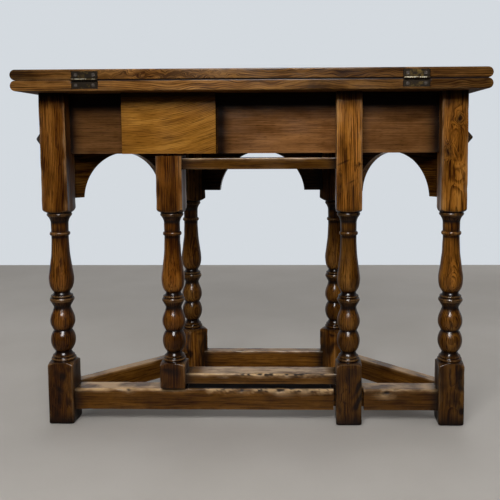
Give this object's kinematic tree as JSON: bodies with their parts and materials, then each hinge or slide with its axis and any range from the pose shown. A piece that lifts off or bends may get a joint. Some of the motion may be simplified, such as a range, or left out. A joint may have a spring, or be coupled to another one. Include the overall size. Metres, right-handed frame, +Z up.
{
  "type": "fold-over tea table",
  "caption": "Oak fold-over tea table: half-octagon leaf that turns over on butt hinges, turned legs, arched aprons, low stretchers and a swinging gate that carries the opened leaf.",
  "frame": {"origin": "on the floor, under the middle of the closed table's outer box, hinge knuckles included", "axes": "+Z up; +X to the right along the hinge edge as seen from the hinge side; +Y from the hinge edge to the back edge"},
  "size_m": [0.904, 0.4552, 0.7074],
  "materials": {
    "oak_top": "waxed oak, worn edges",
    "oak_frame": "dark waxed oak",
    "oak_light": "lighter waxed oak",
    "raw_oak": "unfinished oak",
    "hinge_brass": "aged dark brass",
    "steel_screws": "dull steel"
  },
  "bodies": {
    "frame": {"lower_leaf": "oak_top", "front_rail": "oak_frame", "side_apron_left": "oak_frame", "side_apron_right": "oak_frame", "back_apron": "oak_frame", "pivot_block": "oak_light", "pivot_block_screws": "steel_screws", "front_leg_left": "oak_frame", "front_leg_right": "oak_frame", "back_leg_left": "oak_frame", "back_leg_right": "oak_frame", "front_stretcher": "oak_frame", "side_stretcher_left": "oak_frame", "side_stretcher_right": "oak_frame", "back_stretcher": "oak_frame", "front_leg_pegs": "oak_frame", "glue_blocks": "raw_oak", "top_fixing_screws": "steel_screws", "lower_hinge_plate_left": "hinge_brass", "lower_hinge_plate_right": "hinge_brass", "hinge_pin_left": "hinge_brass", "hinge_pin_right": "hinge_brass", "lower_hinge_screws": "hinge_brass"},
    "gate": {"gate_pivot_leg": "oak_frame", "gate_leg": "oak_frame", "gate_top_rail": "oak_frame", "gate_stretcher": "oak_frame", "pivot_pin_upper": "oak_frame", "pivot_pin_lower": "oak_frame"},
    "leaf": {"upper_leaf": "oak_top", "upper_hinge_plate_left": "hinge_brass", "upper_hinge_plate_right": "hinge_brass", "upper_hinge_screws": "hinge_brass"}
  },
  "joints": [
    {"name": "leaf_fold", "type": "hinge", "parent": "frame", "child": "leaf", "pos_m": [0, -0.22462, 0.6872], "axis": [1, 0, 0], "range_deg": [0, 180]},
    {"name": "gate_swing", "type": "hinge", "parent": "frame", "child": "gate", "pos_m": [-0.165, -0.15138, 0], "axis": [0, 0, -1], "range_deg": [0, 90]}
  ]
}
